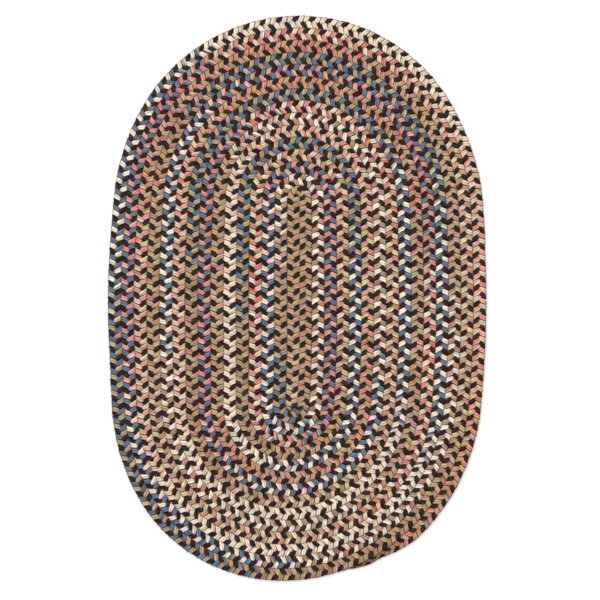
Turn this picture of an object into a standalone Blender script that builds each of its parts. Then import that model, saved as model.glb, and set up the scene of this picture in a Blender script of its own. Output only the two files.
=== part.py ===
"""An oval braided rug, 2 by 3 feet: one flat braid of three strands, wound outwards
round a short straight start and laced to itself edge to edge, so that it is one mat.

Every row of the coil is a rib on both faces, level along its crown, and the laced seams
between the rows are valleys. +Y runs along the rug, +Z is up, and the rug lies on z = 0.
"""

import math

import bmesh
import bpy

# Driving dimensions, in metres
ROW_WIDTH = 0.01955  # the braid, from one laced seam to the next
TURNS = 15  # how many times the braid goes round
SPINE = 0.337  # the straight run in the middle that the coil is wound on
THICKNESS = 0.0095
SEAM_DEPTH = 0.0028  # how far a seam lies below the crowns, on each face
CROWN_SHARE = 0.56  # the share of a row's width that is level

# How the hand-laced coil departs from a true oval. Shares are of the distance from the middle seam.
LEFT_BULGE = 0.057
RIGHT_BULGE = 0.028
BULGE_REACH = 0.3075  # from mid-length to where the sides no longer bulge
HEAD_TUCK = 0.025  # the right half of the head is laced a little tighter
HEAD_TUCK_FROM = 0.113
HEAD_TUCK_TO = 0.310
FOOT_LEAN = 0.052  # the foot leans to the left by this slope
FOOT_LEAN_FROM = -0.049
FOOT_LEAN_EASE = 0.097

# The braid's outer end is thinned out and laced against the row inside it.
# Each row: distance back from the tip along the seam, share of the full width.
END_TAPER = (
    (0.000, 0.00),
    (0.020, 0.25),
    (0.046, 0.46),
    (0.067, 0.44),
    (0.092, 0.76),
    (0.123, 1.00),
)
TIP_ANGLE = math.radians(70)  # where on the foot's half circle the tip lies

# How finely the coil is drawn: steps along each straight side, and round each end
SIDE_STEPS = 5
END_STEPS = 22
TURN_STEPS = 2 * (SIDE_STEPS + END_STEPS)

ACROSS = (0.0, (1 - CROWN_SHARE) / 2, (1 + CROWN_SHARE) / 2, 1.0)
WOOL_COLOUR = (0.175, 0.115, 0.085, 1.0)


def eased(share):
    """A smooth step from 0 to 1."""
    share = min(max(share, 0.0), 1.0)
    return share * share * (3 - 2 * share)


def true_oval(rows_out, step):
    """A point of the even coil: rows_out rows from the middle seam, step steps round the turn.

    The head's half circles share one centre. The foot's share another, half a row to the left,
    and each is half a row larger, which is what carries the braid out to its next row.
    """
    out = rows_out * ROW_WIDTH
    if step < SIDE_STEPS:
        return -out, SPINE * (step / SIDE_STEPS - 0.5)
    step -= SIDE_STEPS
    if step < END_STEPS:
        angle = math.pi * (1 - step / END_STEPS)
        return out * math.cos(angle), SPINE / 2 + out * math.sin(angle)
    step -= END_STEPS
    if step < SIDE_STEPS:
        return out, SPINE * (0.5 - step / SIDE_STEPS)
    angle = math.pi * (step - SIDE_STEPS) / END_STEPS
    out += ROW_WIDTH / 2
    return out * math.cos(angle) - ROW_WIDTH / 2, -SPINE / 2 - out * math.sin(angle)


def laced_oval(x, y):
    """The same point in the rug as it was laced, which bulges, tucks in and leans a little."""
    near = 0.5 + 0.5 * math.cos(math.pi * min(abs(y) / BULGE_REACH, 1.0))
    x *= 1 + (LEFT_BULGE if x < 0 else RIGHT_BULGE) * near
    if x > 0:
        x *= 1 - HEAD_TUCK * eased((y - HEAD_TUCK_FROM) / (HEAD_TUCK_TO - HEAD_TUCK_FROM))
    beyond = max(FOOT_LEAN_FROM - y, 0.0)
    return x - FOOT_LEAN * beyond**2 / (beyond + FOOT_LEAN_EASE), y


def width_share(angle):
    """How much of its width the braid still has, at this angle round the last foot."""
    back = (TIP_ANGLE - angle) * TURNS * ROW_WIDTH
    for (near, thin), (far, wide) in zip(END_TAPER, END_TAPER[1:]):
        if back < far:
            return thin + (wide - thin) * max(back - near, 0.0) / (far - near)
    return 1.0


def last_step():
    """The step of the last turn that closes the tip."""
    return 2 * SIDE_STEPS + END_STEPS + math.ceil(TIP_ANGLE / math.pi * END_STEPS)


def share_at(turn, step):
    if turn < TURNS - 1 or step <= 2 * SIDE_STEPS + END_STEPS:
        return 1.0
    return width_share(math.pi * (step - 2 * SIDE_STEPS - END_STEPS) / END_STEPS)


def wind_upper_face(mesh):
    """The upper face: a long strip, three faces wide, wound up until its edges meet and merge."""
    steps = (TURNS - 1) * TURN_STEPS + last_step()
    bmesh.ops.create_grid(mesh, x_segments=steps, y_segments=len(ACROSS) - 1, size=0.5)
    seam_height = THICKNESS / 2 - SEAM_DEPTH
    for vert in mesh.verts:
        along = round((vert.co.x + 0.5) * steps)
        across = ACROSS[round((vert.co.y + 0.5) * (len(ACROSS) - 1))]
        turn, step = divmod(along, TURN_STEPS)
        share = share_at(turn, step)
        vert.co.x, vert.co.y = laced_oval(*true_oval(turn + across * share, step))
        on_crown = 0 < across < 1
        vert.co.z = seam_height + SEAM_DEPTH * min(1.5 * share, 1.0) * on_crown
    bmesh.ops.remove_doubles(mesh, verts=mesh.verts, dist=1e-6)


def close_start(mesh):
    """Fills the half round between the braid's start and the row that turns round it."""
    start_x, start_y = laced_oval(-ROW_WIDTH / 2, -SPINE / 2)
    around = [
        edge
        for edge in mesh.edges
        if edge.is_boundary
        and all(math.dist(v.co.xy, (start_x, start_y)) < ROW_WIDTH for v in edge.verts)
    ]
    bmesh.ops.triangle_fill(mesh, edges=around, use_beauty=True)


def drop_rim(mesh):
    """Carries the outer edge down to mid-height, where the lower face's mirror image meets it."""
    rim = bmesh.ops.extrude_edge_only(mesh, edges=[e for e in mesh.edges if e.is_boundary])
    for vert in rim["geom"]:
        if isinstance(vert, bmesh.types.BMVert):
            vert.co.z = 0.0


def centre(mesh):
    """Moves the outline's middle to x = 0, y = 0."""
    for axis in (0, 1):
        places = [vert.co[axis] for vert in mesh.verts]
        middle = (min(places) + max(places)) / 2
        for vert in mesh.verts:
            vert.co[axis] -= middle


def face_up(mesh):
    bmesh.ops.recalc_face_normals(mesh, faces=mesh.faces)
    if sum(face.normal.z for face in mesh.faces) < 0:
        bmesh.ops.reverse_faces(mesh, faces=mesh.faces)


def wool():
    material = bpy.data.materials.new("braided_wool")
    material.use_nodes = True
    shader = material.node_tree.nodes["Principled BSDF"]
    shader.inputs["Base Color"].default_value = WOOL_COLOUR
    shader.inputs["Roughness"].default_value = 0.9
    shader.inputs["Metallic"].default_value = 0.0
    return material


def braided_rug():
    mesh = bmesh.new()
    wind_upper_face(mesh)
    close_start(mesh)
    drop_rim(mesh)
    centre(mesh)
    face_up(mesh)
    data = bpy.data.meshes.new("braided_rug")
    mesh.to_mesh(data)
    mesh.free()
    data.shade_smooth()
    data.set_sharp_from_angle(angle=math.radians(50))
    data.materials.append(wool())

    rug = bpy.data.objects.new("braided_rug", data)
    rug.location.z = THICKNESS / 2
    both_faces = rug.modifiers.new("both_faces", "MIRROR")
    both_faces.use_axis = (False, False, True)
    both_faces.merge_threshold = 0.0001
    return rug


def main():
    for old in list(bpy.data.objects):
        bpy.data.objects.remove(old, do_unlink=True)
    pieces = bpy.data.collections.new("Braided rug")
    bpy.context.scene.collection.children.link(pieces)
    pieces.objects.link(braided_rug())


main()
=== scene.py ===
# %% [markdown]
# # An oval braided rug
# The rug is one flat braid of three strands, some 24 m long, that is wound outwards round a
# short straight start and laced to itself edge to edge. One strand is black-brown all along.
# The other two are space-dyed: their yarn changes colour about every metre.
#
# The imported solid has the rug's true outline and thickness, with a rib for each row of the
# coil. Here it gives way to the strands themselves, which are modelled one repeat at a time
# on a straight braid and then bent round the coil.

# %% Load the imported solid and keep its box
import math

import bpy
import numpy as np
from mathutils import Matrix, Vector


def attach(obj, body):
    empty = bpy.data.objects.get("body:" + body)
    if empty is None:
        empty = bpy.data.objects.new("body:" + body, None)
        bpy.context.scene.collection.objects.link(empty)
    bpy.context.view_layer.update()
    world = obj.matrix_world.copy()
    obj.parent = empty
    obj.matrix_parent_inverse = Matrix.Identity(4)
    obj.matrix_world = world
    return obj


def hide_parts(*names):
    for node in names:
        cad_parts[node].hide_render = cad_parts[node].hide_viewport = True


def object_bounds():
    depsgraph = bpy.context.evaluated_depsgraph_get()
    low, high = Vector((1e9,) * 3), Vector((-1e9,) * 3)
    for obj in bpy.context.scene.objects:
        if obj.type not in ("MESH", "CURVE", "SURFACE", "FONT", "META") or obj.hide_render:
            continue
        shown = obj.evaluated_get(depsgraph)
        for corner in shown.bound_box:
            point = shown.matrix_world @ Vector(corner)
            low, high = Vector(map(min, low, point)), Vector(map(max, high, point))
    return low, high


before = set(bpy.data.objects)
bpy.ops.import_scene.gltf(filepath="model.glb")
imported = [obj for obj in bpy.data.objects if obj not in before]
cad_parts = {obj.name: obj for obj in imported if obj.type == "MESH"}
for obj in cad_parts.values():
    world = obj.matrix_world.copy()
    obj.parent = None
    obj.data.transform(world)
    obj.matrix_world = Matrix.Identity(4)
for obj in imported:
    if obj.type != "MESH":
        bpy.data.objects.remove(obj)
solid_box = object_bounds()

MM = 1000  # millimetres in a metre, for what is printed

print("solid box in mm:", [[round(c * MM, 1) for c in corner] for corner in solid_box])

# %% [markdown]
# ## The camera
# The rug is seen from straight above, with its whole length in a square picture. A long
# lens from far off keeps the outline true, so that the ends don't lean away. The picture's
# size is taken at half the rug's thickness, where its rim is.

# %% Camera straight above
PICTURE_SIDE = 0.9705  # metres from one edge of the picture to the other
PICTURE_MIDDLE = (0.00485, -0.0030)  # where the picture's middle falls on the rug, in metres
LENS = 100  # millimetres, as is the sensor's width
SENSOR = 36

camera_height = solid_box[1].z / 2 + PICTURE_SIDE * LENS / SENSOR
bpy.ops.object.select_all(action="DESELECT")
bpy.ops.object.camera_add(location=(*PICTURE_MIDDLE, camera_height), rotation=(0, 0, 0))
camera = bpy.context.object
camera.name = "camera"
camera.data.lens = LENS
camera.data.sensor_width = SENSOR
bpy.context.scene.camera = camera
print("camera height in m:", round(camera.location.z, 3))

# %% [markdown]
# ## The coil that the braid follows
# A braided rug grows by turns: up the left side, round the head, down the right side and
# round the foot, where each half circle is half a row larger so that the braid comes out
# one row further on. Hand lacing never keeps to a true oval, so the sides bulge a little,
# one shoulder is tucked in and the foot leans. All of it is the solid's own geometry.
#
# The coil could be drawn by hand as one long curve, but it follows a rule, so a function
# gives any point of it and a loop lays the points out.

# %% The coil as a function
ROW_WIDTH = 0.01955  # the braid, from one laced seam to the next
TURNS = 15
SPINE = 0.337  # the straight run in the middle
THICKNESS = 0.0095
LEFT, HEAD, RIGHT, FOOT = range(4)  # the stretches of a turn, in the order that the braid takes

LEFT_BULGE = 0.057  # shares of the distance from the middle seam
RIGHT_BULGE = 0.028
BULGE_REACH = 0.3075  # from mid-length to where the sides no longer bulge
HEAD_TUCK = 0.025  # the right half of the head is laced a little tighter
HEAD_TUCK_FROM = 0.113
HEAD_TUCK_TO = 0.310
FOOT_LEAN = 0.052  # the slope by which the foot leans to the left
FOOT_LEAN_FROM = -0.049
FOOT_LEAN_EASE = 0.097

TIP_ANGLE = math.radians(70)  # where on the foot the braid's outer end lies
END_TAPER = (  # distance back from the tip, share of the full width
    (0.000, 0.00),
    (0.020, 0.25),
    (0.046, 0.46),
    (0.067, 0.44),
    (0.092, 0.76),
    (0.123, 1.00),
)


def eased(share):
    """A smooth step from 0 to 1."""
    share = min(max(share, 0.0), 1.0)
    return share * share * (3 - 2 * share)


def true_oval(rows_out, stretch, share):
    """A point of the even coil, this many rows out and at this share of a stretch."""
    out = rows_out * ROW_WIDTH
    if stretch == LEFT:
        return -out, SPINE * (share - 0.5)
    if stretch == HEAD:
        angle = math.pi * (1 - share)
        return out * math.cos(angle), SPINE / 2 + out * math.sin(angle)
    if stretch == RIGHT:
        return out, SPINE * (0.5 - share)
    out += ROW_WIDTH / 2
    angle = math.pi * share
    return out * math.cos(angle) - ROW_WIDTH / 2, -SPINE / 2 - out * math.sin(angle)


def laced(rows_out, stretch, share):
    """The same point in the rug as it was laced."""
    x, y = true_oval(rows_out, stretch, share)
    near = 0.5 + 0.5 * math.cos(math.pi * min(abs(y) / BULGE_REACH, 1.0))
    x *= 1 + (LEFT_BULGE if x < 0 else RIGHT_BULGE) * near
    if x > 0:
        x *= 1 - HEAD_TUCK * eased((y - HEAD_TUCK_FROM) / (HEAD_TUCK_TO - HEAD_TUCK_FROM))
    beyond = max(FOOT_LEAN_FROM - y, 0.0)
    x -= FOOT_LEAN * beyond**2 / (beyond + FOOT_LEAN_EASE)
    return Vector((x, y, 0))


def from_table(place, table):
    """The value at a place, between the rows of a table of places and values."""
    places, values = zip(*table)
    return np.interp(place, places, values)


rim_sides = [laced(TURNS, stretch, 0.5).x for stretch in (LEFT, RIGHT)]
print("rim from side to side in mm:", [round(x * MM, 1) for x in rim_sides])

# %% The coil's points
SIDE_STEPS = 48  # points along each straight side
END_STEPS = 48  # and round each half circle
WIDEST = ROW_WIDTH * (1 + LEFT_BULGE)  # the braid is modelled at the width of its widest row
THINNEST = 0.08  # of that width: the braid never thins to nothing
START_REACH = 0.0085  # the braid's first end, which fills the half round at the middle
START_TAPER = ((-1.0, 0.35), (-0.7, 0.72), (-0.3, 0.95))  # place in that reach, share of the width


def coil_points():
    """The braid's middle line from start to tip, with the share of the widest row's width."""
    points = []
    for turn in range(TURNS):
        for stretch, steps in enumerate((SIDE_STEPS, END_STEPS, SIDE_STEPS, END_STEPS)):
            for step in range(steps):
                share, width = step / steps, 1.0
                if turn == TURNS - 1 and stretch == FOOT:
                    share *= TIP_ANGLE / math.pi
                    back = (TIP_ANGLE - math.pi * share) * TURNS * ROW_WIDTH
                    width = float(from_table(back, END_TAPER))
                inner = laced(turn, stretch, share)
                outer = laced(turn + width, stretch, share)
                points.append(((inner + outer) / 2, max((outer - inner).length / WIDEST, THINNEST)))
    start, first_width = points[0]
    lead_in = [
        (start + Vector((0, START_REACH * place, 0)), first_width * share)
        for place, share in START_TAPER
    ]
    return lead_in + points


def path_length(points):
    """The length of a row of points, from each to the next."""
    return sum((b[0] - a[0]).length for a, b in zip(points, points[1:]))


points = coil_points()
print("points along the coil:", len(points))

# %% The coil set in the middle of the solid
RIM_STEPS = 50  # along each stretch that is measured
FOOT_FULL_TO = 0.25  # the share of the foot up to which the last row has its full width
FOOT_BARE_FROM = 0.4  # and from which the row inside it is the rim


def rim_run(rows_out, stretch, first, last):
    """Points of the rim between two shares of a stretch."""
    shares = [first + step / RIM_STEPS * (last - first) for step in range(RIM_STEPS + 1)]
    return [laced(rows_out, stretch, share) for share in shares]


rim = rim_run(TURNS, LEFT, 0, 1) + rim_run(TURNS, HEAD, 0, 1) + rim_run(TURNS, RIGHT, 0, 1)
rim += rim_run(TURNS, FOOT, 0, FOOT_FULL_TO) + rim_run(TURNS - 1, FOOT, FOOT_BARE_FROM, 1)
rim_middle = [(min(p[axis] for p in rim) + max(p[axis] for p in rim)) / 2 for axis in range(2)]
shift = (solid_box[0] + solid_box[1]) / 2 - Vector((*rim_middle, 0))
shift.z = 0
points = [(place + shift, width) for place, width in points]
coil_length = path_length(points)
print("shift in mm:", [round(c * MM, 2) for c in shift])
print("coil in m:", round(coil_length, 2))


# %% The coil as a guide curve
def lay_guide(points):
    """A curve through the points. Its radius carries the width."""
    bpy.ops.object.select_all(action="DESELECT")
    bpy.ops.curve.primitive_nurbs_path_add(location=(0, 0, 0))
    guide = bpy.context.object
    guide.name = "coil_guide"
    guide.data.splines.clear()
    spline = guide.data.splines.new("POLY")
    spline.points.add(len(points) - 1)
    for point, (place, width) in zip(spline.points, points):
        point.co = (place.x, place.y, THICKNESS / 2, 1)
        point.radius = width
    guide.data.dimensions = "3D"
    guide.data.twist_mode = "Z_UP"
    guide.data.use_radius = True
    guide.data.use_stretch = False
    guide.data.use_deform_bounds = False
    return guide


guide = lay_guide(points)
print("guide's points:", len(guide.data.splines[0].points))

# %% [markdown]
# ## One repeat of one strand
# In a flat braid each strand wanders from edge to edge and dips under the next one after
# every crossing. Seen along the braid its middle draws a figure of eight, so sideways it is
# about a sine and upwards a sine of twice the rate.

# %% The middle of a strand
REPEATS = 903  # along the whole braid
REPEAT = coil_length / REPEATS
STRAND_WIDTHS = {"dark_strand": 0.0069, "dyed_strand": 0.0093, "second_dyed_strand": 0.0093}
STRAND_THICKNESS = 0.0065
SWING = 0.0092  # of a strand's middle to each side
STRAIGHTNESS = 0.12  # takes the curve out of a lobe and puts it into the turn at the edge
RISE = (THICKNESS - STRAND_THICKNESS) / 2  # of its middle on a lobe, for a braid of that thickness
LEVELNESS = 0.15  # keeps a lobe at its full height for longer
MEASURED_STEPS = 100


def strand_middle(turns):
    """The middle of a strand, where 1 is a whole repeat."""
    angle = math.tau * turns
    sideways = math.sin(angle) - STRAIGHTNESS * math.sin(3 * angle)
    upwards = math.sin(2 * angle) + LEVELNESS * math.sin(6 * angle)
    return Vector((REPEAT * turns, SWING * sideways, RISE * upwards))


measured = [strand_middle(step / MEASURED_STEPS) for step in range(MEASURED_STEPS + 1)]
strand_length = sum((b - a).length for a, b in zip(measured, measured[1:]))
print("a repeat in mm:", round(REPEAT * MM, 2), "strand in it:", round(strand_length * MM, 1))

# %% [markdown]
# The strand is made of four plied yarns, which turn round it by two places each repeat, so
# that every yarn comes up in turn. It is flattened, it rolls over at each edge, and it
# swells between the crossings: that swelling is the lobe one sees. The lacing presses the
# braid against the next row, so its edges are pressed in here too.
#
# A curve with a bevel would give a round cord. Here a flat grid is added with its texture
# coordinates, which then run along and across the yarns for good, and it is rolled up into
# a tube with a round back for each yarn and a groove between. Each point also keeps how far
# it lies in a crevice between lobes, where the materials later paint shade into its colour.

# %% Round the strand
BELLY = 0.28  # the share by which a lobe is wider than the strand, and a crossing narrower
YARNS = 4  # round one strand
TURN = 0.5  # of a turn that the yarns make round the strand in a repeat
GROOVE = 0.0006  # from a yarn's back down to the groove beside it
LOBE_MIDDLE = 1 / 8  # of a repeat: the first place where the strand is on top
CORNERS = 0.4  # the smaller, the further the painted crevice shade reaches round the corners of a lobe
PRESSED_TO = WIDEST / 2 + 0.0014  # each row is laced 1.4 mm in between its neighbour's lobes
PRESSED_OVER = 0.0008  # how far in from there a strand starts to be pressed flat


def pressed(sideways, limit):
    """A place across the braid once its edge is pressed in to the limit."""
    free = limit - PRESSED_OVER
    over = abs(sideways) - free
    if over <= 0:
        return sideways
    return math.copysign(free + PRESSED_OVER * math.tanh(over / PRESSED_OVER), sideways)


def section_angle(along, around):
    """Where a point is round the strand. A groove runs along the middle of every lobe."""
    return -math.tau * (around + TURN * (along - LOBE_MIDDLE))


def crevice_shade_mask_at(along, around):
    """How much painted shade the wool gets: 1 where the strand lies against the lobes beside it, 0 along
    its back.
    """
    beside = abs(math.cos(section_angle(along, around)))
    return beside * abs(math.sin(2 * math.tau * along)) ** CORNERS


print("rows pressed to", round(PRESSED_TO * MM, 1), "mm each side of the braid's middle line")

# %% A repeat, rolled up from a grid
STATIONS = 12  # rings of points in a repeat
POINTS_A_YARN = 3  # one of them in the groove
AROUND = YARNS * POINTS_A_YARN
NEARBY = 0.002  # of a repeat, to see which way the strand runs
WELD = 1e-5  # points closer than this are one


def on_strand(along, around, strand_width):
    """A point on the strand's surface, along and around it from 0 to 1."""
    ahead = (strand_middle(along + NEARBY) - strand_middle(along - NEARBY)).normalized()
    level = math.cos(math.tau * along)
    roll = math.pi / 2 * (1 - level * (2 - abs(level)))  # it lies flat on a lobe and turns over fast
    up = Vector((0, math.sin(roll), math.cos(roll)))
    up = (up - ahead * up.dot(ahead)).normalized()
    side = up.cross(ahead)
    angle = section_angle(along, around)
    width = strand_width * (1 - BELLY * math.cos(4 * math.tau * along))
    section = side * math.cos(angle) * width / 2 + up * math.sin(angle) * STRAND_THICKNESS / 2
    if round(around * AROUND) % POINTS_A_YARN == 0:
        section -= section.normalized() * GROOVE
    point = strand_middle(along) + section
    point.y = pressed(point.y, PRESSED_TO)
    return point


def roll_up_repeat(name, strand_width, first):
    """A tube that is open at both ends. Its texture coordinates count repeats, and turns round it."""
    bpy.ops.object.select_all(action="DESELECT")
    bpy.ops.mesh.primitive_grid_add(
        x_subdivisions=STATIONS, y_subdivisions=AROUND, size=1, calc_uvs=True
    )
    strand = bpy.context.object
    strand.name = strand.data.name = name
    # how far each point lies in a crevice: a mask for the shade that the materials paint there
    crevice_shade_mask = strand.data.attributes.new("crevice_shade_mask", "FLOAT", "POINT")
    for vert in strand.data.vertices:
        along, around = vert.co.x + 0.5, vert.co.y + 0.5
        crevice_shade_mask.data[vert.index].value = crevice_shade_mask_at(along, around)
        vert.co = on_strand(along, around, strand_width)
    strand.data.transform(Matrix.Translation((first * REPEAT, 0, 0)))
    strand.data.uv_layers[0].name = "yarns"
    for corner in strand.data.uv_layers["yarns"].uv:
        along, around = corner.vector
        corner.vector = (along + first, around - TURN * math.floor(first))
    bpy.ops.object.mode_set(mode="EDIT")
    bpy.ops.mesh.select_all(action="SELECT")
    bpy.ops.mesh.remove_doubles(threshold=WELD)
    bpy.ops.object.mode_set(mode="OBJECT")
    return strand


print("faces in a repeat:", STATIONS * AROUND)

# %% [markdown]
# ## Three strands round the coil
# An Array modifier lays the repeats end to end and welds them, and a Curve modifier bends
# the straight strand round the coil. The three strands are made alike, the dark one a little
# thinner, and each is a third of a repeat further on than the last. A strand is cut into
# three lengths, so that no piece is too heavy.
#
# The last turn has no row outside it to hold its lobes apart. So before a strand is bent,
# its outer side is pressed smooth there, which gives the rug its even rim.

# %% How strands are laid
LENGTHS = ("inner", "middle", "outer")
LENGTH_REPEATS = REPEATS // len(LENGTHS)
STRANDS = {"dark_strand": 0, "dyed_strand": 1, "second_dyed_strand": 2}  # thirds of a repeat further on


def active(piece):
    """Makes the piece the only one selected."""
    bpy.ops.object.select_all(action="DESELECT")
    piece.select_set(True)
    bpy.context.view_layer.objects.active = piece


def apply_all(piece):
    """Applies the piece's modifiers in their order."""
    active(piece)
    for modifier in list(piece.modifiers):
        bpy.ops.object.modifier_apply(modifier=modifier.name)


def first_repeat(name, length):
    """Where along the braid, in repeats, a length of a strand begins."""
    return length * LENGTH_REPEATS + (STRANDS[name] - 1) / 3


print("repeats in a length:", LENGTH_REPEATS)

# %% Where the rim is
TURN_POINTS = 2 * (SIDE_STEPS + END_STEPS)  # of the guide, in the last turn
FOOT_POINTS = round(END_STEPS * (1 - TIP_ANGLE / math.pi))  # in the turn before, past the tip
RIM_FROM = coil_length - path_length(points[-TURN_POINTS - FOOT_POINTS :])  # metres along the braid
RIM_PRESSED_TO = WIDEST / 2 + 0.0004  # the rim's lobes stand out 0.4 mm at most


def press_rim(strand):
    """Smooths the rug's rim: the outer side of the last turn, while the strand is straight."""
    for vert in strand.data.vertices:
        if vert.co.x > RIM_FROM and vert.co.y > 0:
            vert.co.y = pressed(vert.co.y, RIM_PRESSED_TO)


print("braid along the rim in m:", round(coil_length - RIM_FROM, 2))


# %% Array and bend
def lay_strand(name, length):
    """One length of a strand, bent round the coil."""
    strand = roll_up_repeat(
        f"{name}_{LENGTHS[length]}", STRAND_WIDTHS[name], first_repeat(name, length)
    )
    repeats = strand.modifiers.new("repeats", "ARRAY")
    repeats.count = LENGTH_REPEATS
    repeats.use_relative_offset = False
    repeats.use_constant_offset = True
    repeats.constant_offset_displace = (REPEAT, 0, 0)
    repeats.use_merge_vertices = True
    repeats.merge_threshold = WELD
    repeats.offset_u = 1.0
    repeats.offset_v = -TURN
    apply_all(strand)
    press_rim(strand)
    coil = strand.modifiers.new("coil", "CURVE")
    coil.object = guide
    coil.deform_axis = "POS_X"
    apply_all(strand)
    strand.data.shade_smooth()
    return strand


strands = {
    (name, length): lay_strand(name, length) for name in STRANDS for length in range(len(LENGTHS))
}
bpy.data.objects.remove(guide)
print("faces in all:", sum(len(strand.data.polygons) for strand in strands.values()))

# %% [markdown]
# ## Hand work
# No two lobes of a real braid are alike: the maker's pull varies, and the lacing draws the
# rows about. Displace modifiers with cloud textures push the yarn about sideways by part of
# a millimetre, alike for all the strands at one place so that they stay together. One more
# swells and thins each strand on its own. What would then sink into the floor lies on it.

# %% Uneven pull
WANDER = 0.0016  # across the whole range of the clouds
WANDER_SPOTS = {"X": 0.013, "Y": 0.016}  # metres from one cloud to the next
SWELLING = 0.0011
SWELLING_SPOTS = {"dark_strand": 0.007, "dyed_strand": 0.008, "second_dyed_strand": 0.009}


def clouds(name, size):
    """A soft grey noise with spots of this size."""
    texture = bpy.data.textures.new(name, "CLOUDS")
    texture.noise_scale = size
    texture.noise_depth = 1
    return texture


def add_unevenness(strand, texture, direction, strength):
    """Moves the strand's points one way where the clouds are bright, and back where they are dark."""
    uneven = strand.modifiers.new(texture.name, "DISPLACE")
    uneven.texture = texture
    uneven.texture_coords = "LOCAL"
    uneven.direction = direction
    uneven.mid_level = 0.5
    uneven.strength = strength


wander = {axis: clouds(f"wander_{axis.lower()}", size) for axis, size in WANDER_SPOTS.items()}
swelling = {name: clouds(f"swelling_{name}", size) for name, size in SWELLING_SPOTS.items()}
for (name, _), strand in strands.items():
    for axis, texture in wander.items():
        add_unevenness(strand, texture, axis, WANDER)
    add_unevenness(strand, swelling[name], "NORMAL", SWELLING)
    apply_all(strand)
    for vert in strand.data.vertices:
        vert.co.z = max(vert.co.z, 0.0)
highest = max(vert.co.z for strand in strands.values() for vert in strand.data.vertices)
print("height in mm:", round(highest * MM, 2))

# %% [markdown]
# ## Space-dyed wool
# The yarn was dipped a length at a time, so one hank runs through six colours: slate blue,
# beige, olive tan, cream, coral and rose brown. The two dyed strands follow the same order
# from different starts, so each colour is braided with another one.
#
# How far a point of the yarn is along that order is a number, so it is stored on the mesh
# as an attribute. It could be read from the texture coordinates, but one strand was begun
# with a joined-on end that breaks the order, and a short table tells that best.

# %% Where each strand is in its dye order
DYE_ORDER = 5.864  # metres of braid for all six colours
BLUE_STARTS = {"dyed_strand": 1.621, "second_dyed_strand": 3.995}  # metres of braid to the first blue
JOINED_ENDS = (  # metres of braid, dye order: rose brown, a short end of blue, rose brown again
    (0.000, -0.160),
    (0.700, -0.060),
    (0.715, 0.050),
    (0.845, 0.070),
    (0.860, -0.090),
    (1.621, 0.000),
)


def dye_at(name, distance):
    """The place in the dye order, where every whole number is a start of blue."""
    dye = (distance - BLUE_STARTS[name]) / DYE_ORDER
    if name == "dyed_strand":
        dye = np.where(distance < BLUE_STARTS[name], from_table(distance, JOINED_ENDS), dye)
    return dye


def corner_uv(mesh):
    """The texture coordinates of each face's corners."""
    uv = np.empty(2 * len(mesh.loops), np.float32)
    mesh.uv_layers["yarns"].uv.foreach_get("vector", uv)
    return uv.reshape(-1, 2)


def store_dye(name, mesh):
    """Gives every point of a strand its place in the dye order."""
    vertex = np.empty(len(mesh.loops), int)
    mesh.loops.foreach_get("vertex_index", vertex)
    dye = np.zeros(len(mesh.vertices), np.float32)
    dye[vertex] = dye_at(name, corner_uv(mesh)[:, 0] * REPEAT - START_REACH)
    mesh.attributes.new("dye", "FLOAT", "POINT").data.foreach_set("value", dye)
    return dye


for (name, _), strand in strands.items():
    if name in BLUE_STARTS:
        dye = store_dye(name, strand.data)
        print(strand.name, "in dye orders: from", round(dye.min(), 2), "to", round(dye.max(), 2))

# %% [markdown]
# ## The yarn's materials
# Both materials are wool: rough, hardly glossy, with a soft sheen from loose fibres. The
# pattern follows the texture coordinates: the first counts repeats along the braid, and the
# second counts turns round the strand. Four times the second counts its yarns, so rounded
# down it is a yarn's own number, and what is left over is the place across that yarn.


# %% A helper for nodes, and colours from hex
def linear(hex_colour):
    """An sRGB hex colour as linear RGBA, by the sRGB curve."""
    parts = [int(hex_colour[i : i + 2], 16) / 255 for i in (1, 3, 5)]
    return (*[p / 12.92 if p <= 0.04045 else ((p + 0.055) / 1.055) ** 2.4 for p in parts], 1.0)


def add_node(tree, kind, settings=None, **inputs):
    """Adds a node. Inputs are values or the sockets to link, by name or by i and a number."""
    node = tree.nodes.new(kind)
    for key, value in (settings or {}).items():
        setattr(node, key, value)
    for key, value in inputs.items():
        number = key[1:] if key[0] == "i" else ""
        socket = node.inputs[int(number)] if number.isdigit() else node.inputs[key.replace("_", " ")]
        if isinstance(value, bpy.types.NodeSocket):
            tree.links.new(value, socket)
        else:
            socket.default_value = value
    return node


def new_material(name):
    """A material with its node tree and shader."""
    material = bpy.data.materials.new(name)
    material.use_nodes = True
    return material, material.node_tree, material.node_tree.nodes["Principled BSDF"]


MULTIPLY = {"operation": "MULTIPLY"}
SUBTRACT = {"operation": "SUBTRACT"}
MULTIPLY_ADD = {"operation": "MULTIPLY_ADD"}
ABSOLUTE = {"operation": "ABSOLUTE"}
REMAINDER = {"operation": "FLOORED_MODULO"}
SMOOTH = {"interpolation_type": "SMOOTHSTEP"}
print("mid grey as linear:", [round(part, 3) for part in linear("#808080")])

# %% The pattern of four plied yarns
PLY_TWIST = 0.0037  # metres of strand: 2.5 mm on the real yarn, but drawn coarser so that it shows
PLY_TWISTS = round(strand_length / PLY_TWIST)  # in one repeat
FLECK = 0.00087  # metres: a fibre, 0.03 mm thick, wouldn't show, so a fleck stands for a tuft of them
FLECKS = round(strand_length / FLECK)  # in one repeat
FLECKS_ACROSS = 6.0  # one yarn
GROOVE_PLACE = {"From_Min": 0.3, "From_Max": 0.5}  # of a yarn's width, from its crown


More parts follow.
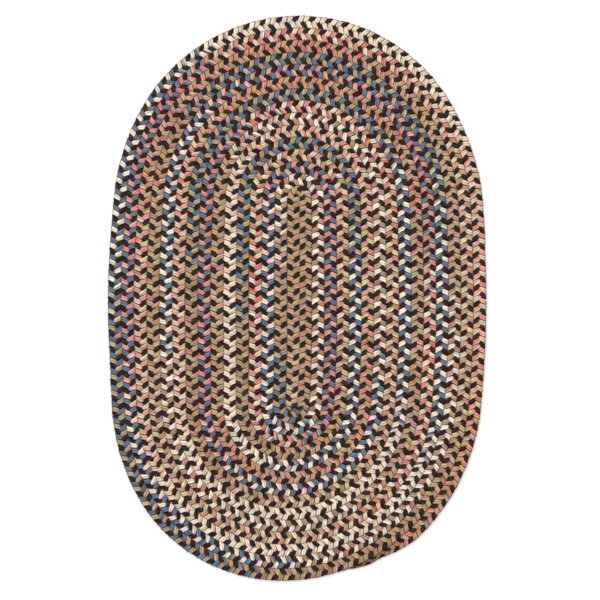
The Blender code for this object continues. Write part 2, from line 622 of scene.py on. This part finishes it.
def yarn_pattern(tree):
    """Sockets for repeats along the braid, the yarn's number, its groove, its twist and its fibres."""
    place = add_node(tree, "ShaderNodeUVMap", {"uv_map": "yarns"}).outputs[0]
    parts = add_node(tree, "ShaderNodeSeparateXYZ", i0=place)
    repeats = parts.outputs["X"]
    turns_round = parts.outputs["Y"]
    yarns = add_node(tree, "ShaderNodeMath", MULTIPLY, i0=turns_round, i1=float(YARNS)).outputs[0]
    whole = add_node(tree, "ShaderNodeMath", {"operation": "FLOOR"}, i0=yarns).outputs[0]
    number = add_node(tree, "ShaderNodeMath", REMAINDER, i0=whole, i1=float(YARNS)).outputs[0]
    across = add_node(tree, "ShaderNodeMath", SUBTRACT, i0=yarns, i1=whole).outputs[0]
    off_crown = add_node(tree, "ShaderNodeMath", SUBTRACT, i0=across, i1=0.5).outputs[0]
    edge = add_node(tree, "ShaderNodeMath", ABSOLUTE, i0=off_crown).outputs[0]
    groove = add_node(tree, "ShaderNodeMapRange", SMOOTH, Value=edge, **GROOVE_PLACE).outputs[0]
    twists = add_node(
        tree, "ShaderNodeMath", MULTIPLY_ADD, i0=repeats, i1=float(PLY_TWISTS), i2=across
    ).outputs[0]
    angle = add_node(tree, "ShaderNodeMath", MULTIPLY, i0=twists, i1=math.tau).outputs[0]
    twist = add_node(tree, "ShaderNodeMath", {"operation": "SINE"}, i0=angle).outputs[0]
    on_yarn = add_node(tree, "ShaderNodeCombineXYZ", X=repeats, Y=yarns, Z=number).outputs[0]
    fleck_place = add_node(
        tree, "ShaderNodeVectorMath", MULTIPLY, i0=on_yarn, i1=(FLECKS, FLECKS_ACROSS, 1.0)
    ).outputs[0]
    fibres = add_node(
        tree, "ShaderNodeTexNoise", Vector=fleck_place, Scale=1.0, Detail=2.0, Roughness=0.6
    ).outputs["Fac"]
    return repeats, number, groove, twist, fibres


print("in a repeat:", PLY_TWISTS, "twists of the ply,", FLECKS, "flecks")

# %% Uneven dye
DRIFTS = 2.0  # in one repeat: the dye's uptake changes about every 13 mm of braid
NOISE_RANGE = {"From_Min": 0.3, "From_Max": 0.7}  # a noise seldom goes past these
OFF_GRID = 0.3  # a noise is plain grey at whole numbers, such as a yarn's, so it is read off them


def uneven_take_up(tree, colour, repeats, number, hues, depths, tones):
    """No two yarns, and no two stretches of one, take up the dye alike."""
    spot = add_node(tree, "ShaderNodeCombineXYZ", X=repeats, Y=number, Z=OFF_GRID)
    drift = add_node(
        tree, "ShaderNodeTexNoise", Vector=spot.outputs[0], Scale=DRIFTS, Detail=2.0
    )
    parts = add_node(tree, "ShaderNodeSeparateColor", i0=drift.outputs["Color"])
    hue, saturation, value = [
        add_node(
            tree, "ShaderNodeMapRange", Value=part, To_Min=low, To_Max=high, **NOISE_RANGE
        ).outputs[0]
        for part, (low, high) in zip(parts.outputs, (hues, depths, tones))
    ]
    return add_node(
        tree, "ShaderNodeHueSaturation", Hue=hue, Saturation=saturation, Value=value, Color=colour
    ).outputs["Color"]


print("the dye's uptake changes every", round(REPEAT / DRIFTS * MM, 1), "mm of braid")

# %% [markdown]
# Between the lobes the wool is packed and little light gets in. A wide soft light alone
# leaves it too pale, so shade is painted into the wool's colour there: by its depth under
# the braid's face, and by the crevice value that each point has kept.

# %% Painted shade in the crevices
DEEP = 0.0006  # height from the braid's middle up to which the painted shade is darkest
CROWN = 0.0036  # and from which no shade is painted on the wool's colour
PAINTED_DEPTH_SHADE = {"From_Min": DEEP, "From_Max": CROWN, "To_Min": 0.3, "To_Max": 1.0}
PAINTED_BESIDE_SHADE = {"From_Min": 0.45, "From_Max": 0.75, "To_Min": 1.0, "To_Max": 0.05}  # painted shade between lobes, by crevice value


def paint_crevice_shade(tree):
    """Painted shade: the share of its colour that the wool keeps, down in the braid and between lobes."""
    place = add_node(tree, "ShaderNodeTexCoord").outputs["Object"]
    height = add_node(tree, "ShaderNodeSeparateXYZ", i0=place).outputs["Z"]
    off_middle = add_node(tree, "ShaderNodeMath", SUBTRACT, i0=height, i1=THICKNESS / 2).outputs[0]
    rise = add_node(tree, "ShaderNodeMath", ABSOLUTE, i0=off_middle).outputs[0]
    depth_painted_shade = add_node(tree, "ShaderNodeMapRange", SMOOTH, Value=rise, **PAINTED_DEPTH_SHADE).outputs[0]
    crevice_shade_mask = add_node(tree, "ShaderNodeAttribute", {"attribute_name": "crevice_shade_mask"}).outputs["Fac"]
    beside = add_node(tree, "ShaderNodeMapRange", SMOOTH, Value=crevice_shade_mask, **PAINTED_BESIDE_SHADE).outputs[0]
    return add_node(tree, "ShaderNodeMath", MULTIPLY, i0=depth_painted_shade, i1=beside).outputs[0]


print("full colour from", round((THICKNESS / 2 - CROWN) * MM, 2), "mm under the braid's face")

# %% The wool's finish
FLECK_SHADE = {"From_Min": 0.25, "From_Max": 0.75, "To_Min": 0.82, "To_Max": 1.16}  # by the noise
FLECK_ROUGHNESS = {"From_Min": 0.2, "From_Max": 0.8, "To_Min": 0.95, "To_Max": 0.8}  # of wool: high
TWIST_SHARE = 0.35  # of the bump, against 1 for the fibres
BUMP_STRENGTH = 0.6
BUMP_DEPTH = 0.0003  # metres
SPECULAR = 0.05  # wool is hardly glossy
SHEEN = 0.02
SHEEN_ROUGHNESS = 0.5


def finish_wool(tree, shader, colour, groove, twist, fibres, darkest_painted_groove):
    """Paints shade into grooves and crevices, gives flecks their tone, adds the twist and fibres as a
    bump, and sets the gloss.
    """
    # painted shade in the grooves between yarns, which the coarse mesh leaves too pale
    painted_groove_shade = add_node(
        tree, "ShaderNodeMapRange", Value=groove, From_Min=0.0, From_Max=1.0, To_Min=1.0, To_Max=darkest_painted_groove
    ).outputs[0]
    # painted shade down in the braid and between lobes
    crevice_painted_shade = paint_crevice_shade(tree)
    painted_shade = add_node(tree, "ShaderNodeMath", MULTIPLY, i0=painted_groove_shade, i1=crevice_painted_shade).outputs[0]
    fleck = add_node(tree, "ShaderNodeMapRange", Value=fibres, **FLECK_SHADE).outputs[0]
    painted_shade_and_fleck = add_node(tree, "ShaderNodeMath", MULTIPLY, i0=painted_shade, i1=fleck).outputs[0]
    shaded = add_node(
        tree, "ShaderNodeVectorMath", {"operation": "SCALE"}, i0=colour, Scale=painted_shade_and_fleck
    ).outputs[0]
    tree.links.new(shaded, shader.inputs["Base Color"])
    height = add_node(
        tree, "ShaderNodeMath", MULTIPLY_ADD, i0=twist, i1=TWIST_SHARE, i2=fibres
    ).outputs[0]
    bump = add_node(
        tree, "ShaderNodeBump", Strength=BUMP_STRENGTH, Distance=BUMP_DEPTH, Height=height
    )
    tree.links.new(bump.outputs[0], shader.inputs["Normal"])
    roughness = add_node(tree, "ShaderNodeMapRange", Value=fibres, **FLECK_ROUGHNESS).outputs[0]
    tree.links.new(roughness, shader.inputs["Roughness"])
    shader.inputs["Specular IOR Level"].default_value = SPECULAR
    shader.inputs["Sheen Weight"].default_value = SHEEN
    shader.inputs["Sheen Roughness"].default_value = SHEEN_ROUGHNESS


print("bump depth in mm:", round(BUMP_DEPTH * MM, 2))

# %% Black-brown wool
def dark_wool():
    """Solid-dyed black-brown wool yarn: the dark chevrons that pull the rug together."""
    material, tree, shader = new_material("black_brown_wool_yarn")
    repeats, number, groove, twist, fibres = yarn_pattern(tree)
    colour = uneven_take_up(
        tree, linear("#3c2c29"), repeats, number, hues=(0.44, 0.56), depths=(0.6, 1.5), tones=(0.6, 1.45)
    )
    # the grooves between yarns get painted shade, down to a quarter of the colour
    finish_wool(tree, shader, colour, groove, twist, fibres, darkest_painted_groove=0.25)
    return material


wools = {"dark_strand": dark_wool()}
print("material:", wools["dark_strand"].name)

# %% The order of the dyes
DYES = {  # where each begins in the dye order, its colour there, and its colour where it ends
    "slate blue": (0.000, "#5b6e7f", "#656975"),
    "beige": (0.166, "#d2c0a8", "#c2ac8c"),
    "olive tan": (0.332, "#ac926c", "#a89276"),
    "cream": (0.497, "#dbd1c0", "#dfcab8"),
    "coral": (0.661, "#cd9287", "#bb786b"),
    "rose brown": (0.829, "#b88e77", "#a0806b"),
}
CHANGE = 0.012  # of the dye order, from one dye to the next
STAGGER = 0.012  # how far a yarn's dye may start early or late, in dye orders: 70 mm of braid

dyes = list(DYES.values())
ends = [begin for begin, *_ in dyes[1:]] + [1.0]
stops = []
for (begin, first, last), end in zip(dyes, ends):
    stops += [(begin + CHANGE / 2, first), (end - CHANGE / 2, last)]
for dye_name, (begin, *_), end in zip(DYES, dyes, ends):
    print(dye_name, "for", round((end - begin) * DYE_ORDER, 2), "m of braid")


# %% Space-dyed wool
def dyed_wool():
    """Space-dyed wool yarn: bands of colour a metre long, with ragged changes between them."""
    material, tree, shader = new_material("space_dyed_wool_yarn")
    repeats, number, groove, twist, fibres = yarn_pattern(tree)
    dye = add_node(tree, "ShaderNodeAttribute", {"attribute_name": "dye"}).outputs["Fac"]
    own = add_node(
        tree, "ShaderNodeTexWhiteNoise", {"noise_dimensions": "1D"}, W=number
    ).outputs["Value"]
    stagger = add_node(
        tree, "ShaderNodeMapRange", Value=own, From_Min=0.0, From_Max=1.0, To_Min=-STAGGER, To_Max=STAGGER
    ).outputs[0]
    place = add_node(tree, "ShaderNodeMath", {"operation": "ADD"}, i0=dye, i1=stagger).outputs[0]
    order = add_node(tree, "ShaderNodeMath", REMAINDER, i0=place, i1=1.0).outputs[0]
    ramp = add_node(tree, "ShaderNodeValToRGB", Fac=order)
    for position, _ in stops[1:-1]:
        ramp.color_ramp.elements.new(position)
    for element, (position, hex_colour) in zip(ramp.color_ramp.elements, stops):
        element.position = position
        element.color = linear(hex_colour)
    colour = uneven_take_up(
        tree,
        ramp.outputs["Color"],
        repeats,
        number,
        hues=(0.47, 0.53),
        depths=(0.76, 1.23),
        tones=(0.82, 1.42),
    )
    # the grooves between yarns get painted shade, down to 0.65 of the colour
    finish_wool(tree, shader, colour, groove, twist, fibres, darkest_painted_groove=0.65)
    return material


wools["dyed_strand"] = wools["second_dyed_strand"] = dyed_wool()
for (name, _), strand in strands.items():
    strand.data.materials.append(wools[name])
print("materials:", sorted({wool.name for wool in wools.values()}))

# %% [markdown]
# ## Ends, and a map for baking
# The cut ends are filled last, because the new faces have no place in the dye order.
#
# Whoever takes the rug into another program needs its colours in one picture for each piece.
# An automatic unwrapping would break the long tubes into thousands of slivers, so each
# strand is laid out by rule: slit open along a groove and set in even lines, like text on a
# page. The round ends go into the room that is left in the last line.


# %% Closed ends
def close_ends(strand):
    """Fills the strand's two open ends."""
    active(strand)
    bpy.ops.object.mode_set(mode="EDIT")
    bpy.ops.mesh.select_all(action="SELECT")
    bpy.ops.mesh.fill_holes(sides=0)
    bpy.ops.object.mode_set(mode="OBJECT")


for strand in strands.values():
    close_ends(strand)
print("ends closed on", len(strands), "pieces")

# %% The strand as lines on a page
LINES = 24
LINE_REPEATS = math.ceil((LENGTH_REPEATS + 1) / LINES)
LINE_GAP = 0.08  # the share of a line that is left free
END_PLACES = (0.7, 0.9)  # of the two round ends, along the last line
END_RADIUS = 0.4  # of a line's height
QUAD_CORNERS = 4  # of every face but the round ends, which have more


def page_map(strand, first):
    """Lays the strand out line by line in a second set of texture coordinates."""
    mesh = strand.data
    uv = corner_uv(mesh)
    corners = np.empty(len(mesh.polygons), int)
    mesh.polygons.foreach_get("loop_total", corners)
    face = np.repeat(np.arange(len(corners)), corners)
    face_middle = np.bincount(face, uv[:, 0]) / corners
    repeat = np.floor(face_middle[face] - first)
    line = repeat // LINE_REPEATS
    around = uv[:, 1] + TURN * (math.floor(first) + repeat)
    page = np.empty_like(uv)
    page[:, 0] = (uv[:, 0] - first) / LINE_REPEATS - line
    page[:, 1] = (line + LINE_GAP / 2 + (1 - LINE_GAP) * around) / LINES
    for place, end in zip(END_PLACES, np.flatnonzero(corners > QUAD_CORNERS)):
        angle = math.tau * np.arange(corners[end]) / corners[end]
        page[face == end, 0] = place + END_RADIUS / LINES * np.cos(angle)
        page[face == end, 1] = 1 + (END_RADIUS * np.sin(angle) - 0.5) / LINES
    mesh.uv_layers.new(name="OFBake").uv.foreach_set("vector", page.ravel())
    return page


for (name, length), strand in strands.items():
    page = page_map(strand, first_repeat(name, length))
    print(strand.name, "page from", page.min(axis=0).round(4), "to", page.max(axis=0).round(4))

# %% [markdown]
# ## Floor and light
# A plain pale floor and a plain soft light: a wide pale sky, and one large lamp from the
# upper left that gives each lobe its round side.

# %% Floor
FLOOR_SIDE = 8
FLOOR_DROP = 0.0002  # under the rug, so that no two faces lie in one plane

bpy.ops.object.select_all(action="DESELECT")
bpy.ops.mesh.primitive_plane_add(size=FLOOR_SIDE, location=(0, 0, -FLOOR_DROP))
floor = bpy.context.object
floor.name = "floor"
board, _, board_shader = new_material("matt_white_board")  # matt, so that it mirrors nothing
board_shader.inputs["Base Color"].default_value = linear("#f8f8f7")
board_shader.inputs["Roughness"].default_value = 0.9
floor.data.materials.append(board)
print("floor in m:", FLOOR_SIDE, "x", FLOOR_SIDE)

# %% Light
SKY_STRENGTH = 0.93
LAMP_POWER = 38  # watts
LAMP_SIZE = 2.0
LAMP_PLACE = (-0.7, 0.9, 2.7)

world = bpy.data.worlds.new("pale_sky")
world.use_nodes = True
world.node_tree.nodes["Background"].inputs["Color"].default_value = linear("#ffffff")
world.node_tree.nodes["Background"].inputs["Strength"].default_value = SKY_STRENGTH
bpy.context.scene.world = world

bpy.ops.object.light_add(type="AREA", location=LAMP_PLACE)
lamp = bpy.context.object
lamp.name = "soft_lamp"
lamp.data.energy = LAMP_POWER
lamp.data.size = LAMP_SIZE
lamp.rotation_euler = (-Vector(LAMP_PLACE)).to_track_quat("-Z", "Y").to_euler()
bpy.context.scene.view_settings.view_transform = "Standard"
print("lamp from the rug's middle in m:", round(Vector(LAMP_PLACE).length, 2))

# %% [markdown]
# ## Riding with the rug
# Every strand rides with the rug and stands for the imported solid, which is hidden. A coil of
# braid is cloth too.

# %% Rides
for strand in strands.values():
    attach(strand, "root")
    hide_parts("braided_rug")
print("a sheet's length in m:", round(LENGTH_REPEATS * REPEAT, 3))
